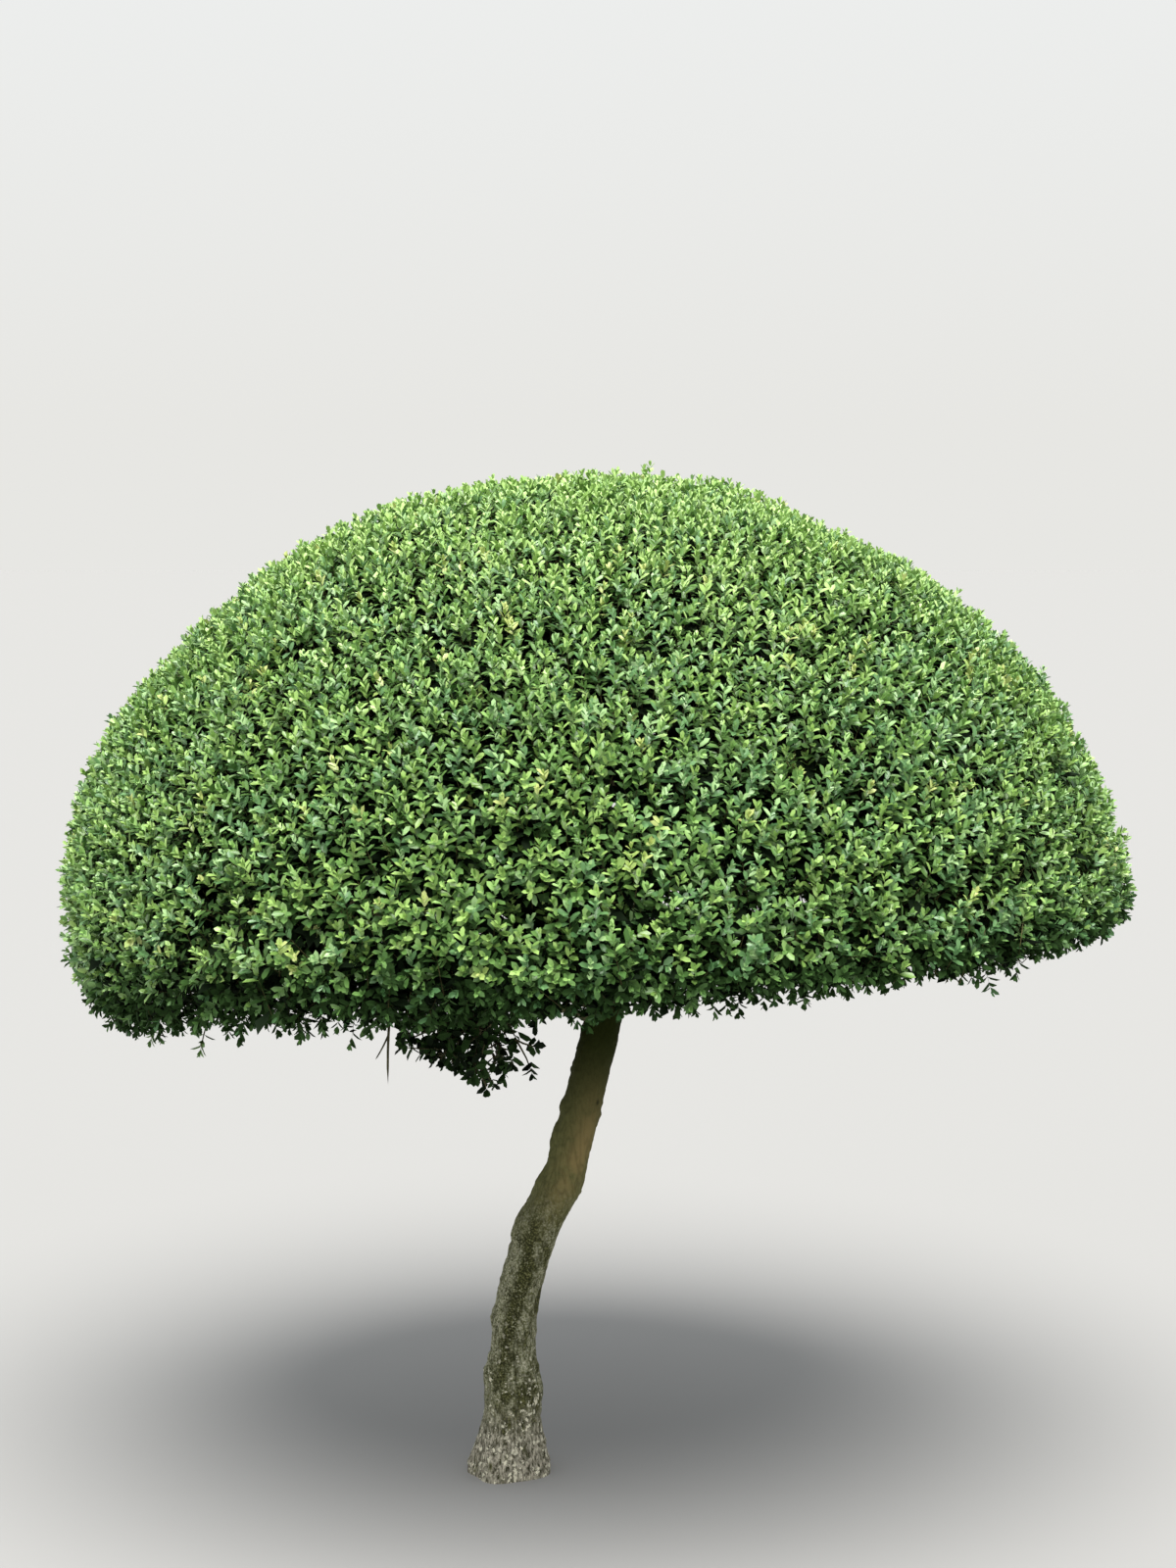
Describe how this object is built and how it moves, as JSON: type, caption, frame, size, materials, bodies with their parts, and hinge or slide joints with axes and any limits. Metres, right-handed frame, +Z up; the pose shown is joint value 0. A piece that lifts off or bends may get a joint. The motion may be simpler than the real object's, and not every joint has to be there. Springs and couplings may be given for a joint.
{
  "type": "standard topiary",
  "caption": "Domed evergreen standard: a clipped parasol crown of small leaves over a bare leaning trunk, rooted in the ground, with a low twiggy tuft beside the trunk.",
  "frame": {"origin": "middle of the flat cut under the trunk, at ground level", "axes": "+Z up; +X to the right and -Y to the front in the picture's view, in which the trunk leans to +X"},
  "size_m": [1.6028, 1.543, 1.529],
  "materials": {
    "bark": "rough bark",
    "foliage": "glossy leaves on thin twigs"
  },
  "bodies": {
    "root": {"trunk": "bark", "leader": "bark", "bough_right": "bark", "bough_back_right": "bark", "bough_back_left": "bark", "bough_left": "bark", "bough_front": "bark", "low_bough": "bark", "crown": "foliage", "low_tuft": "foliage"}
  },
  "joints": []
}
